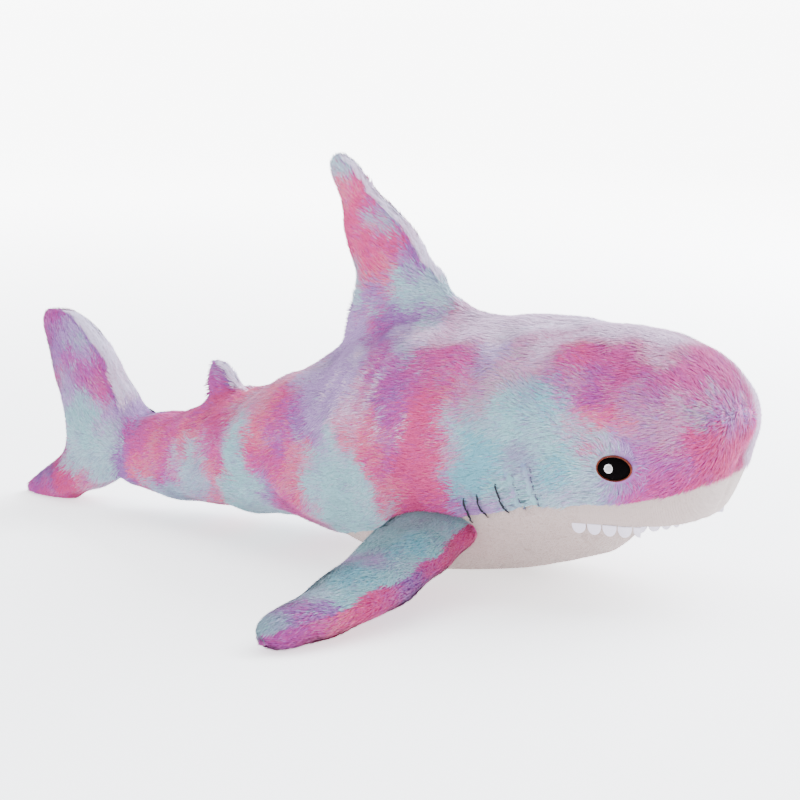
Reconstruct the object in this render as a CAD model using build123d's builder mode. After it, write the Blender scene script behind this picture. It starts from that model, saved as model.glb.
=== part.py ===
from build123d import *
import math
import os

# Plush shark, 606 mm from nose to tail fin. The nose points along +X, +Z is up, the
# body is symmetric about the XZ plane, and it rests on its belly at Z = 0. The
# origin is the middle of the footprint. All sizes are in millimetres.

# ---------------------------------------------------------------- driving sizes
FABRIC = 3.0            # plush cloth with its pile pressed flat
ROOT_TURNS = (80, 65, 45, 22)  # places, in degrees, of the ovals that round a fin's root
SIDE = 300.0            # half the width of the blocks that cut the model

# Body ovals: (x, bottom, top, half width). Heights under 0 are cut flat by the floor.
BODY_OVALS = [
    (-222, 18, 67, 19),
    (-190, 16, 73, 24),
    (-150, 14, 83, 34),
    (-100, 14, 100, 49),
    (-50, 15, 119, 63),
    (0, 11, 142, 75),
    (50, -1, 161, 83),
    (100, -3, 173, 87),
    (150, 4, 177, 85),
    (200, 17, 177, 78),
    (235, 26, 175, 71),
    (258, 33, 171, 67),
    (273, 48, 164, 62),
    (285, 64, 155, 54),
    (294, 82, 145, 44),
    (299.5, 97, 134, 31),
    (302.3, 106, 124, 16),
    (303, 110, 118, 7),
]
BODY_ROUNDNESS = 2.25   # exponent of the ovals, 2 being an ellipse

# Lower jaw ovals, centred on the mouth line: (x, bottom, half width).
MOUTH_CORNER_X = 218.0
MOUTH_Z = 59.0
JAW_OVALS = [
    (190, 15, 72),
    (208, 21, 67),
    (228, 29, 59),
    (245, 38, 48),
    (257, 47, 34),
    (264, 54, 16),
]
MOUTH_GAP = 1.0
LINING = 2.0            # cloth of the mouth lining

# Seam between coloured sides and white belly, as heights along the body.
BELLY_SEAM = [
    (-8, 2),
    (18, 14),
    (52, 28),
    (100, 42),
    (148, 54),
    (190, 66),
    (235, 73),
    (275, 79),
    (308, 93),
]

# Tail hinge: a line in the XZ plane just behind the seam of the tail stock.
TAIL_SEAM = (-191.5, 45.0)
TAIL_LEAN = math.radians(18.5)
TAIL_ROOT_RADIUS = 20.0
TAIL_CLEARANCE = 1.6    # gap between the round root and the tail stock it turns against
# Tail fin slices: (z, rear edge, thickest place, front edge, half thickness).
# None stands for a slice that reaches the root and is rounded about the hinge.
TAIL_SLICES = [
    (0, -293, -274, -255, 7),
    (5, -303, -268, -248, 12),
    (12, -298, -246, -226, 15.5),
    (22, -284, None, None, 18.5),
    (38, -263, None, None, 20),
    (56, -260, None, None, 20),
    (72, -263, None, None, 18),
    (95, -270, -222, -198, 15.5),
    (120, -277, -240, -216, 13.5),
    (137, -281, -254, -233, 11),
    (146, -279, -263, -247, 7),
    (149, -273, -265, -257, 3),
]

# Dorsal fin hinge: a line in the XZ plane along the back.
DORSAL_HINGE_REAR = (0.7, 161.2)
DORSAL_HINGE_FRONT = (112.7, 193.7)
# Dorsal slices: (distance out from the hinge, 0, rear, thickest, front, half thickness),
# measured along the hinge line from its rear end.
DORSAL_SLICES = [
    (0, 0, 6, 50, 87, 13),
    (21, 0, 12, 49, 81, 12.5),
    (44, 0, 15, 46, 72, 11.5),
    (69, 0, 17, 39, 58, 10),
    (92, 0, 17, 32, 44, 8),
    (107, 0, 17, 26, 35, 6),
    (113, 0, 19, 24, 29, 3),
]

# Second dorsal fin slices: (z, rear, thickest, front, half thickness).
SECOND_FIN_SLICES = [
    (88, -128, -104, -76, 9),
    (104, -124, -109, -90, 7),
    (116, -121, -113, -101, 5.5),
    (123, -119, -114, -107, 3),
]

# Right pectoral fin hinge: a line along X beside the belly.
PECTORAL_HINGE_Y = -94.1
# Pectoral slices: (distance out from the hinge, height, rear, thickest, front, half thickness).
PECTORAL_SLICES = [
    (0, 36.5, 80, 116, 146, 15.5),
    (25, 32, 84, 118, 147, 16.5),
    (50, 27, 86, 119, 146, 16.5),
    (80, 21.5, 86, 118, 142, 16),
    (110, 16.5, 84, 112, 134, 14),
    (135, 13, 83, 105, 123, 11.5),
    (147, 10.5, 86, 101, 114, 8.5),
    (152, 9, 91, 100, 108, 4.5),
]

# Trimmings
EYE_X = 232.5
EYE_Z = 96.0
EYE_TURN = 16.0         # degrees that the eye faces forward of straight sideways
EYE_HALF = (10.4, 7.2)
EYE_RIM = 1.1
RIM_RISE = 1.2          # how far the trimmings stand out of the cloth
EYE_RISE = 2.0
GLINT_RISE = 2.7
INSIDE_Y = -40.0        # where the eye's prism starts, well inside the head
PRISM_LENGTH = 60.0
GLINT_RADIUS = 2.8
GLINT_BACK = 3.0        # the glint sits behind the middle of the eye
GILLS = [((143, 52), (138, 68)), ((155, 57), (149, 73)), ((170, 62), (162, 81)),
         ((181, 65), (171, 89)), ((193, 67), (184, 95))]
GILL_WIDTH = 1.3
TOOTH_COUNT = 15
TOOTH_LENGTH = 8.0
TOOTH_WIDTH = 11.0
FELT = 1.2
STITCH_COUNT = 9        # ladder stitches that close the stuffing hole under the belly
STITCH_PITCH = 6.0
STITCH_SIZE = (2.2, 5.0)
STITCH_START_X = -18.0
THREAD = 0.9


# ------------------------------------------------------------------- helpers
def oval(plane, left, peak, right, half, power=2.0, points=16):
    """Closed oval whose widest place, peak, need not be in its middle."""
    corners = []
    for step in range(points):
        turn = 2 * math.pi * step / points
        along, across = math.cos(turn), math.sin(turn)
        reach = (right - peak) if along > 0 else (peak - left)
        u = peak + reach * math.copysign(abs(along) ** (2 / power), along)
        v = half * math.copysign(abs(across) ** (2 / power), across)
        corners.append((u, v))
    with BuildSketch(plane) as sketch:
        with BuildLine():
            Spline(*corners, periodic=True)
        make_face()
    return sketch.sketch


def combine(base, also=(), less=(), within=()):
    """One piece from a base solid: joined to some, cut by others, kept inside others."""
    with BuildPart() as piece:
        add(base)
        for other in also:
            add(other)
        for other in less:
            add(other, mode=Mode.SUBTRACT)
        for other in within:
            add(other, mode=Mode.INTERSECT)
    return piece.part


def rounded_root(slices, inset):
    """Fin slices drawn in by inset, after more slices that round the root about the hinge."""
    shrunk = []
    for out, height, rear, peak, front, half in slices:
        pull = min(inset, 0.6 * half)
        tip = pull if out == slices[-1][0] else 0
        shrunk.append((out - tip, height, rear + pull, peak, front - pull, half - pull))
    out, height, rear, peak, front, half = shrunk[0]
    root = []
    for turn in ROOT_TURNS:
        depth, left = half * math.sin(math.radians(turn)), half * math.cos(math.radians(turn))
        root.append((out - depth, height, rear + depth / 3, peak, front - depth / 3, left))
    return root + shrunk


def body_loft(inset, floor):
    """The whole body, head to tail stock, drawn in by inset and cut flat at floor."""
    with BuildPart() as body:
        for x, bottom, top, half in BODY_OVALS:
            pull = min(inset, 0.6 * half)
            middle = (bottom + top) / 2
            tall = (top - bottom) / 2 - pull
            upright = Plane(origin=(x - pull * (x > 290), 0, middle), x_dir=(0, 0, 1), z_dir=(1, 0, 0))
            add(oval(upright, -tall, 0, tall, half - pull, BODY_ROUNDNESS))
        loft()
        with BuildSketch(Plane.XY.offset(floor)):
            Rectangle(4 * SIDE, 2 * SIDE)
        extrude(amount=-SIDE, mode=Mode.SUBTRACT)
    return body.part


def jaw_loft(inset):
    """The lower jaw, under the mouth line."""
    with BuildPart() as jaw:
        for x, bottom, half in JAW_OVALS:
            tall = MOUTH_Z - bottom - inset
            upright = Plane(origin=(x - inset, 0, MOUTH_Z), x_dir=(0, 0, 1), z_dir=(1, 0, 0))
            add(oval(upright, -tall, 0, tall, half - inset, BODY_ROUNDNESS))
        loft()
    return jaw.part


def fin_loft(slices, hinge, inset):
    """A fin that grows out of a hinge plane, through ovals laid across it."""
    with BuildPart() as fin:
        for out, height, rear, peak, front, half in rounded_root(slices, inset):
            level = hinge.offset(out)
            level.origin = level.origin + hinge.y_dir * height
            add(oval(level, rear, peak, front, half))
        loft()
    return fin.part


def block(x_min, x_max, z_min, z_max):
    """A wide block across the model, for cutting."""
    with BuildPart() as cutter:
        with BuildSketch(Plane.XZ) as profile:
            with Locations(((x_min + x_max) / 2, (z_min + z_max) / 2)):
                Rectangle(x_max - x_min, z_max - z_min)
        extrude(amount=SIDE, both=True)
    return cutter.part


def half_space(plane):
    """Everything on the side of the plane that its normal points to."""
    with BuildPart() as cutter:
        with BuildSketch(plane):
            Rectangle(4 * SIDE, 4 * SIDE)
        extrude(amount=2 * SIDE)
    return cutter.part


def keep(name, solid):
    """Label one finished piece and write it out."""
    solid.label = name
    export_step(solid, f"parts/{name}.step")


os.makedirs("parts", exist_ok=True)

# ---------------------------------------------------------------- cutting blocks
RIGHT = half_space(Plane.XZ)
LEFT = half_space(-Plane.XZ)
tail_seam_plane = Plane(
    origin=(TAIL_SEAM[0], 0, TAIL_SEAM[1]),
    x_dir=(0, 1, 0),
    z_dir=(math.cos(TAIL_LEAN), 0, -math.sin(TAIL_LEAN)),
)
ahead_of_tail = half_space(tail_seam_plane)
mouth_front = block(MOUTH_CORNER_X, 2 * SIDE, -SIDE, MOUTH_Z)

with BuildPart() as under_seam:
    with BuildSketch(Plane.XZ):
        with BuildLine():
            Spline(*BELLY_SEAM)
            Polyline(BELLY_SEAM[-1], (SIDE + 20, -50), (BELLY_SEAM[0][0], -50), BELLY_SEAM[0])
        make_face()
    extrude(amount=SIDE, both=True)

# ------------------------------------------------------------ second dorsal fin
with BuildPart() as second_fin:
    for z, rear, peak, front, half in SECOND_FIN_SLICES:
        add(oval(Plane.XY.offset(z), rear, peak, front, half))
    loft()

# ----------------------------------------------------------------- body and head
body_outer = body_loft(0, 0)
body_inner = body_loft(FABRIC, FABRIC)
jaw_outer = jaw_loft(0)
jaw_inner = jaw_loft(FABRIC)

skin = combine(body_outer, also=[second_fin.part], less=[body_inner, mouth_front], within=[ahead_of_tail])
side_skin = combine(skin, less=[under_seam.part])
keep("side_panel_right", combine(side_skin, within=[RIGHT]))
keep("side_panel_left", combine(side_skin, within=[LEFT]))

white_skin = combine(skin, within=[under_seam.part])
lip_side = block(MOUTH_CORNER_X, 2 * SIDE, MOUTH_Z, SIDE)
keep("upper_lip_panel", combine(white_skin, within=[lip_side]))

jaw_top = MOUTH_Z - MOUTH_GAP
jaw_space = block(MOUTH_CORNER_X, 2 * SIDE, -SIDE, jaw_top)
jaw_skin = combine(jaw_outer, less=[jaw_inner], within=[jaw_space])
belly_space = block(-2 * SIDE, MOUTH_CORNER_X, -SIDE, SIDE)
keep("belly_panel", combine(combine(white_skin, within=[belly_space]), also=[jaw_skin]))

palate_space = block(MOUTH_CORNER_X, 2 * SIDE, MOUTH_Z, MOUTH_Z + LINING)
tongue_space = block(MOUTH_CORNER_X, 2 * SIDE, jaw_top - LINING, jaw_top)
keep("mouth_lining_upper", combine(body_inner, within=[palate_space]))
keep("mouth_lining_lower", combine(jaw_inner, within=[tongue_space]))

jaw_filling = combine(jaw_inner, within=[block(MOUTH_CORNER_X, 2 * SIDE, -SIDE, jaw_top - LINING)])
above_lining = block(MOUTH_CORNER_X, 2 * SIDE, -SIDE, MOUTH_Z + LINING)
filling = combine(body_inner, less=[above_lining], within=[ahead_of_tail])
keep("body_stuffing", combine(filling, also=[jaw_filling]))

# ------------------------------------------------------------------------- teeth
LIP_CORNER = (MOUTH_CORNER_X, 60.0)
LIP_FRONT_X = 271.0
LIP_ROUNDNESS = 2.4


def lip_point(turn, inset=0.0):
    """A point of the upper lip's edge seen from below, from the right (0) to the left (1)."""
    angle = math.pi * (turn - 0.5)
    x = LIP_CORNER[0] + (LIP_FRONT_X - LIP_CORNER[0] - inset) * math.cos(angle) ** (2 / LIP_ROUNDNESS)
    across = abs(math.sin(angle)) ** (2 / LIP_ROUNDNESS)
    return Vector(x, math.copysign((LIP_CORNER[1] - inset) * across, angle), MOUTH_Z)


with BuildPart() as teeth:
    with BuildSketch(Plane.XY.offset(MOUTH_Z)) as band:
        with BuildLine():
            outer = Spline(*[tuple(lip_point(step / 24, 2.0))[:2] for step in range(25)])
            inner = Spline(*[tuple(lip_point(step / 24, 2.0 + FELT))[:2] for step in range(25)])
            Line(outer @ 0, inner @ 0)
            Line(outer @ 1, inner @ 1)
        make_face()
    extrude(amount=-2.5)
    for number in range(TOOTH_COUNT):
        spot = outer.position_at((number + 0.5) / TOOTH_COUNT)
        along = outer.tangent_at((number + 0.5) / TOOTH_COUNT)
        root = Vector(spot.X, spot.Y, MOUTH_Z)
        outward = Vector(along.Y, -along.X, 0)
        tooth_plane = Plane(origin=root, x_dir=(along.X, along.Y, 0), z_dir=outward)
        down = -1 if tooth_plane.y_dir.Z > 0 else 1
        with BuildSketch(tooth_plane):
            with BuildLine():
                left_root = (-TOOTH_WIDTH / 2, down * 1.5)
                right_root = (TOOTH_WIDTH / 2, down * 1.5)
                ThreePointArc(left_root, (-TOOTH_WIDTH / 5, down * TOOTH_LENGTH * 0.8), (0, down * TOOTH_LENGTH))
                ThreePointArc((0, down * TOOTH_LENGTH), (TOOTH_WIDTH / 5, down * TOOTH_LENGTH * 0.8), right_root)
                Line(right_root, left_root)
            make_face()
        extrude(amount=-FELT)
keep("upper_teeth_strip", combine(teeth.part, less=[jaw_outer]))

# -------------------------------------------------------------------------- eyes
rim_shell = body_loft(-RIM_RISE, 0)
eye_shell = body_loft(-EYE_RISE, 0)
glint_shell = body_loft(-GLINT_RISE, 0)
facing = math.radians(EYE_TURN)


def eye_prism(half_x, half_z, shift=0.0):
    """A straight oval prism through the right eye, along the way that it faces."""
    out = Vector(math.sin(facing), -math.cos(facing), 0)
    across = Vector(math.cos(facing), math.sin(facing), 0)
    middle = Vector(EYE_X, INSIDE_Y, EYE_Z) + across * shift
    with BuildPart() as prism:
        with BuildSketch(Plane(origin=middle, x_dir=across, z_dir=out)):
            Ellipse(half_x, half_z)
        extrude(amount=PRISM_LENGTH)
    return prism.part


pupil_prism = eye_prism(*EYE_HALF)
rim_prism = eye_prism(EYE_HALF[0] + EYE_RIM, EYE_HALF[1] + EYE_RIM)
glint_prism = eye_prism(GLINT_RADIUS, GLINT_RADIUS, -GLINT_BACK)
eye = combine(eye_shell, less=[body_outer], within=[pupil_prism])
eye_rim = combine(rim_shell, less=[body_outer, pupil_prism], within=[rim_prism])
eye_glint = combine(glint_shell, less=[eye_shell], within=[glint_prism])

# ------------------------------------------------------------------ gill stitches
with BuildPart() as gill_blades:
    for low, high in GILLS:
        with BuildSketch(Plane.XZ):
            run = math.atan2(high[1] - low[1], high[0] - low[0])
            with Locations(((low[0] + high[0]) / 2, (low[1] + high[1]) / 2)):
                SlotOverall(math.dist(low, high), GILL_WIDTH, rotation=math.degrees(run))
        extrude(amount=SIDE)
gill_stitches = combine(rim_shell, less=[body_outer], within=[gill_blades.part])

trimmings = {"eye": eye, "eye_rim": eye_rim, "eye_glint": eye_glint, "gill_stitches": gill_stitches}
for name, solid in trimmings.items():
    keep(name + "_right", solid)
    keep(name + "_left", mirror(solid, about=Plane.XZ))

# --------------------------------------------------- closing stitches, under the belly
with BuildPart() as ladder:
    for number in range(STITCH_COUNT):
        with Locations((STITCH_START_X + STITCH_PITCH * number, 0, 0)):
            Box(*STITCH_SIZE, SIDE / 5)
stitch_shell = combine(body_loft(-THREAD, 0), less=[body_outer])
ladder_end = STITCH_START_X + STITCH_PITCH * STITCH_COUNT
rear_underside = block(STITCH_START_X - STITCH_PITCH, ladder_end, -THREAD, MOUTH_Z)
keep("closing_stitches", combine(stitch_shell, within=[ladder.part, rear_underside]))

# ---------------------------------------------------------------------- dorsal fin
dorsal_run = Vector(
    DORSAL_HINGE_FRONT[0] - DORSAL_HINGE_REAR[0],
    0,
    DORSAL_HINGE_FRONT[1] - DORSAL_HINGE_REAR[1],
).normalized()
dorsal_frame = Plane(
    origin=(DORSAL_HINGE_REAR[0], 0, DORSAL_HINGE_REAR[1]),
    x_dir=dorsal_run,
    z_dir=(-dorsal_run.Z, 0, dorsal_run.X),
)
dorsal_outer = fin_loft(DORSAL_SLICES, dorsal_frame, 0)
dorsal_inner = fin_loft(DORSAL_SLICES, dorsal_frame, FABRIC)
dorsal_skin = combine(dorsal_outer, less=[dorsal_inner])
keep("dorsal_fin_panel_right", combine(dorsal_skin, within=[RIGHT]))
keep("dorsal_fin_panel_left", combine(dorsal_skin, within=[LEFT]))
keep("dorsal_fin_stuffing", dorsal_inner)

# ---------------------------------------------------------------------- tail fin
tail_hinge_x = TAIL_SEAM[0] - (TAIL_ROOT_RADIUS + TAIL_CLEARANCE) * math.cos(TAIL_LEAN)
tail_hinge_z = TAIL_SEAM[1] + (TAIL_ROOT_RADIUS + TAIL_CLEARANCE) * math.sin(TAIL_LEAN)


def tail_loft(inset):
    """The tail fin from its lower lobe to its upper one, in level slices."""
    with BuildPart() as tail:
        for z, rear, peak, front, half in TAIL_SLICES:
            pull = min(inset, 0.6 * half)
            rise = inset * (1 - 2 * z / TAIL_SLICES[-1][0])
            if peak is None:
                peak = tail_hinge_x + (z - tail_hinge_z) * math.tan(TAIL_LEAN)
                front = peak + TAIL_ROOT_RADIUS / math.cos(TAIL_LEAN)
            add(oval(Plane.XY.offset(z + rise), rear + pull, peak, front - pull, half - pull))
        loft()
    return tail.part


behind_seam = half_space(
    Plane(
        origin=tail_seam_plane.offset(-TAIL_CLEARANCE).origin,
        x_dir=(0, 1, 0),
        z_dir=-tail_seam_plane.z_dir,
    )
)
tail_outer = combine(tail_loft(0), within=[behind_seam])
tail_inner = tail_loft(FABRIC)
tail_skin = combine(tail_outer, less=[tail_inner])
keep("tail_fin_panel_right", combine(tail_skin, within=[RIGHT]))
keep("tail_fin_panel_left", combine(tail_skin, within=[LEFT]))
keep("tail_fin_stuffing", combine(tail_inner, within=[tail_outer]))


# ---------------------------------------------------------------- pectoral fins
pectoral_hinge = Plane(
    origin=(0, PECTORAL_HINGE_Y, 0),
    x_dir=(1, 0, 0),
    z_dir=(0, -1, 0),
)

# The seam round the edge of the fin lies in the plane of the slices' middles.
first, last = PECTORAL_SLICES[0], PECTORAL_SLICES[-1]
droop = math.atan2(first[1] - last[1], last[0] - first[0])
seam_plane = Plane(
    origin=(0, PECTORAL_HINGE_Y, first[1]),
    x_dir=(1, 0, 0),
    z_dir=(0, -math.sin(droop), math.cos(droop)),
)
pectoral_outer = fin_loft(PECTORAL_SLICES, pectoral_hinge, 0)
pectoral_inner = fin_loft(PECTORAL_SLICES, pectoral_hinge, FABRIC)
pectoral_skin = combine(pectoral_outer, less=[pectoral_inner])
pectoral_top = combine(pectoral_skin, within=[half_space(seam_plane)])
pectoral_underside = combine(pectoral_skin, less=[half_space(seam_plane)])
pectoral_pieces = {
    "upper_panel": pectoral_top,
    "lower_panel": pectoral_underside,
    "stuffing": pectoral_inner,
}
for name, solid in pectoral_pieces.items():
    keep("pectoral_fin_" + name + "_right", solid)
    keep("pectoral_fin_" + name + "_left", mirror(solid, about=Plane.XZ))
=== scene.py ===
import math

import bmesh
import bpy
import numpy as np
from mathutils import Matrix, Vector
from mathutils.bvhtree import BVHTree


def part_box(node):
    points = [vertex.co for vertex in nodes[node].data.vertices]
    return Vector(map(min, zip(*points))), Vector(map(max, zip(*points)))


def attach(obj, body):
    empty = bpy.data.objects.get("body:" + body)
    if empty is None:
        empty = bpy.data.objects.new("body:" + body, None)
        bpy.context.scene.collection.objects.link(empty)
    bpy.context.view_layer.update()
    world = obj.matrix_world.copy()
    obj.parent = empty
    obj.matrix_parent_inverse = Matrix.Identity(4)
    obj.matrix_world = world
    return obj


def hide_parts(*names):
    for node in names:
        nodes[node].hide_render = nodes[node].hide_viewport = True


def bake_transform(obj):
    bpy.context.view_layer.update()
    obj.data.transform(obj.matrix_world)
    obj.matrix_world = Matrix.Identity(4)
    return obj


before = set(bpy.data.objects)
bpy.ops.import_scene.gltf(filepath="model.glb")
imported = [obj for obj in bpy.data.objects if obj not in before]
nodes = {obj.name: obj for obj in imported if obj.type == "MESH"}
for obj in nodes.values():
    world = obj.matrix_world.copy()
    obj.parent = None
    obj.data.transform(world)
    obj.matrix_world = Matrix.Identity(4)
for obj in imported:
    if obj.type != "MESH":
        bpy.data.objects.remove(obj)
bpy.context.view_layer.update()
MM = 0.001
rng = np.random.default_rng(7)

# ---------------------------------------------------------------- camera and light
TARGET = Vector((0.0422, 0, 0.1082))
CAMERA_BACK = 1.4406
AZIMUTH, ELEVATION = math.radians(31), math.radians(11)
LENS = 92.04


def looking(obj, target):
    """Turns an object so that its -Z axis points at the target."""
    obj.rotation_euler = (Vector(target) - obj.location).to_track_quat("-Z", "Y").to_euler()


camera = bpy.data.objects.new("camera", bpy.data.cameras.new("camera"))
bpy.context.scene.collection.objects.link(camera)
camera.location = TARGET + CAMERA_BACK * Vector(
    (
        math.sin(AZIMUTH) * math.cos(ELEVATION),
        -math.cos(AZIMUTH) * math.cos(ELEVATION),
        math.sin(ELEVATION),
    )
)
looking(camera, TARGET)
camera.data.lens = LENS
camera.data.clip_end = 100
bpy.context.scene.camera = camera


def area_light(name, place, size, power, colour, target=(0, 0, 0.1)):
    lamp = bpy.data.lights.new(name, "AREA")
    lamp.shape = "RECTANGLE"
    lamp.size, lamp.size_y = size
    lamp.energy = power
    lamp.color = colour
    holder = bpy.data.objects.new(name, lamp)
    holder.location = place
    bpy.context.scene.collection.objects.link(holder)
    looking(holder, target)
    return holder


area_light("window_back", (0.8, 1.6, 1.2), (2.2, 1.4), 190, (0.90, 0.94, 1.0))
area_light("overhead", (-0.2, 0.5, 1.8), (2.4, 1.6), 60, (0.93, 0.96, 1.0))
area_light("front_fill", (0.3, -2.2, 0.9), (2.6, 1.8), 44, (1.0, 0.985, 0.97))

world = bpy.data.worlds.new("studio")
bpy.context.scene.world = world
world.use_nodes = True
world.node_tree.nodes["Background"].inputs["Color"].default_value = (0.93, 0.95, 1.0, 1)
world.node_tree.nodes["Background"].inputs["Strength"].default_value = 1.15


# ------------------------------------------------------------------- mesh helpers
def new_object(name, verts, faces):
    """A mesh object in the row frame, smooth shaded."""
    mesh = bpy.data.meshes.new(name)
    mesh.from_pydata([tuple(v) for v in verts], [], [tuple(f) for f in faces])
    mesh.shade_smooth()
    obj = bpy.data.objects.new(name, mesh)
    bpy.context.scene.collection.objects.link(obj)
    return obj


def node_verts(name):
    mesh = nodes[name].data
    co = np.empty(len(mesh.vertices) * 3)
    mesh.vertices.foreach_get("co", co)
    return co.reshape(-1, 3)


def node_arrays(name):
    """Vertices and triangles of a CAD node."""
    mesh = nodes[name].data
    mesh.calc_loop_triangles()
    tris = np.empty(len(mesh.loop_triangles) * 3, int)
    mesh.loop_triangles.foreach_get("vertices", tris)
    return node_verts(name), tris.reshape(-1, 3)


def hull(points):
    """Convex hull of points, as vertices and triangles."""
    bm = bmesh.new()
    for p in points:
        bm.verts.new(p)
    found = bmesh.ops.convex_hull(bm, input=bm.verts)
    inside = [v for v in found["geom_interior"] if isinstance(v, bmesh.types.BMVert)]
    bmesh.ops.delete(bm, geom=inside, context="VERTS")
    bmesh.ops.triangulate(bm, faces=bm.faces)
    bmesh.ops.recalc_face_normals(bm, faces=bm.faces)
    bm.verts.index_update()
    verts = np.array([v.co[:] for v in bm.verts])
    tris = np.array([[v.index for v in f.verts] for f in bm.faces])
    bm.free()
    return verts, tris


def voxel_skin(parts, voxel):
    """One closed quad mesh round several overlapping solids."""
    verts, faces, start = [], [], 0
    for v, t in parts:
        verts.append(v)
        faces.append(t + start)
        start += len(v)
    obj = new_object("voxels", np.vstack(verts), np.vstack(faces))
    modifier = obj.modifiers.new("remesh", "REMESH")
    modifier.mode = "VOXEL"
    modifier.voxel_size = voxel
    graph = bpy.context.evaluated_depsgraph_get()
    made = bpy.data.meshes.new_from_object(obj.evaluated_get(graph))
    bpy.data.objects.remove(obj)
    bm = bmesh.new()
    bm.from_mesh(made)
    seen, best = set(), []
    bm.verts.ensure_lookup_table()
    for v in bm.verts:
        if v in seen:
            continue
        stack, island = [v], []
        seen.add(v)
        while stack:
            one = stack.pop()
            island.append(one)
            for e in one.link_edges:
                other = e.other_vert(one)
                if other not in seen:
                    seen.add(other)
                    stack.append(other)
        if len(island) > len(best):
            best = island
    keep = set(best)
    bmesh.ops.delete(bm, geom=[v for v in bm.verts if v not in keep], context="VERTS")
    bm.verts.index_update()
    co = np.array([v.co[:] for v in bm.verts])
    quads = np.array([[v.index for v in f.verts] for f in bm.faces if len(f.verts) == 4])
    bm.free()
    bpy.data.meshes.remove(made)
    return co, quads


class Skin:
    """A closed quad surface that is worked on as arrays."""

    def __init__(self, co, quads):
        self.co, self.quads = co, quads
        pairs = np.vstack([quads[:, [0, 1]], quads[:, [1, 2]], quads[:, [2, 3]], quads[:, [3, 0]]])
        self.edges = np.unique(np.sort(pairs, axis=1), axis=0)
        self.degree = np.bincount(self.edges.ravel(), minlength=len(co)).astype(float)

    def around(self, values):
        """Mean of the neighbours' values."""
        a, b = self.edges.T
        total = np.zeros_like(values)
        for k in range(values.shape[1]):
            total[:, k] = np.bincount(a, values[b, k], len(values))
            total[:, k] += np.bincount(b, values[a, k], len(values))
        return total / self.degree[:, None]

    def normals(self):
        q = self.co[self.quads]
        face = np.cross(q[:, 2] - q[:, 0], q[:, 3] - q[:, 1])
        total = np.zeros_like(self.co)
        for k in range(4):
            for axis in range(3):
                total[:, axis] += np.bincount(self.quads[:, k], face[:, axis], len(self.co))
        return total / np.maximum(np.linalg.norm(total, axis=1), 1e-12)[:, None]

    def smooth(self, rounds, weight=1.0, share=0.5):
        for _ in range(rounds):
            self.co = self.co + share * np.asarray(weight).reshape(-1, 1) * (self.around(self.co) - self.co)

    def taubin(self, rounds, weight=1.0):
        for _ in range(rounds):
            self.smooth(1, weight, 0.5)
            self.smooth(1, weight, -0.52)

    def fill(self, rounds, weight):
        """Fills hollows only, so a sewn root sweeps into the body without thinning the fin."""
        for _ in range(rounds):
            normal = self.normals()
            rise = np.sum((self.around(self.co) - self.co) * normal, axis=1)
            self.co = self.co + (0.9 * weight * np.maximum(rise, 0))[:, None] * normal


def ease(low, high, value):
    t = np.clip((value - low) / (high - low), 0, 1)
    return t * t * (3 - 2 * t)


def wobble(points, scale, seed, count=24):
    """Smooth noise between about -1 and 1, from seeded waves."""
    source = np.random.default_rng(seed)
    ways = source.normal(size=(count, 3))
    ways *= (source.uniform(0.5, 1.6, count) / np.linalg.norm(ways, axis=1))[:, None]
    phases = source.uniform(0, 2 * math.pi, count)
    return np.sin(points @ ways.T * (2 * math.pi / scale) + phases).sum(1) * (1.45 / math.sqrt(count))


# ---------------------------------------------------------------------- body skin
TAIL_SEAM = np.array((-0.1915, 0, 0.045))
TAIL_LEAN = math.radians(18.5)
TAIL_AHEAD = np.array((math.cos(TAIL_LEAN), 0, -math.sin(TAIL_LEAN)))
MOUTH_X, MOUTH_Z = 0.218, 0.059
DORSAL_REAR = np.array((0.0007, 0, 0.1612))
DORSAL_FRONT = np.array((0.1127, 0, 0.1937))
DORSAL_RUN = (DORSAL_FRONT - DORSAL_REAR) / np.linalg.norm(DORSAL_FRONT - DORSAL_REAR)
DORSAL_OUT = np.array((-DORSAL_RUN[2], 0, DORSAL_RUN[0]))
BELLY_SEAM = [
    (-0.008, 0.002), (0.018, 0.014), (0.052, 0.028), (0.100, 0.042), (0.148, 0.054),
    (0.190, 0.066), (0.235, 0.073), (0.275, 0.079), (0.308, 0.093),
]
PILE = 0.0022
VOXEL = 0.003


def seam_height(x):
    """Height of the belly seam along the body."""
    at, high = zip(*BELLY_SEAM)
    return np.where(x < at[0], high[0] - (at[0] - x), np.interp(x, at, high))


def behind_tail(points):
    """How far points lie behind the seam of the tail stock."""
    return (TAIL_SEAM - points) @ TAIL_AHEAD


def above_back(points):
    """How far points lie above the root line of the dorsal fin."""
    return (points - DORSAL_REAR) @ DORSAL_OUT


def to_line(points, low, high):
    """Distance of points from a line between two places, and where along it (0 to 1)."""
    low = np.array(low, float)
    run = np.array(high, float) - low
    t = np.clip((points - low) @ run / (run @ run), 0, 1)
    return np.linalg.norm(points - low - t[:, None] * run, axis=1), t


BODY_NODES = [
    "body_stuffing", "side_panel_right", "side_panel_left", "belly_panel", "upper_lip_panel",
    "dorsal_fin_panel_right", "dorsal_fin_panel_left", "dorsal_fin_stuffing",
    "tail_fin_panel_right", "tail_fin_panel_left", "tail_fin_stuffing",
]
parts = [node_arrays(n) for n in BODY_NODES]
stock = np.vstack([node_verts(n) for n in ("side_panel_right", "side_panel_left")])
stock = stock[np.abs(behind_tail(stock)) < 0.010]
tail_all = np.vstack([node_verts(n) for n in ("tail_fin_panel_right", "tail_fin_panel_left")])
near_tail = tail_all[(behind_tail(tail_all) < 0.034) & (tail_all[:, 2] > 0.018) & (tail_all[:, 2] < 0.078)]
parts.append(hull(np.vstack([stock, near_tail])))
dorsal_all = np.vstack([node_verts(n) for n in ("dorsal_fin_panel_right", "dorsal_fin_panel_left")])
dorsal_root = dorsal_all[above_back(dorsal_all) < 0.006]
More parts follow.
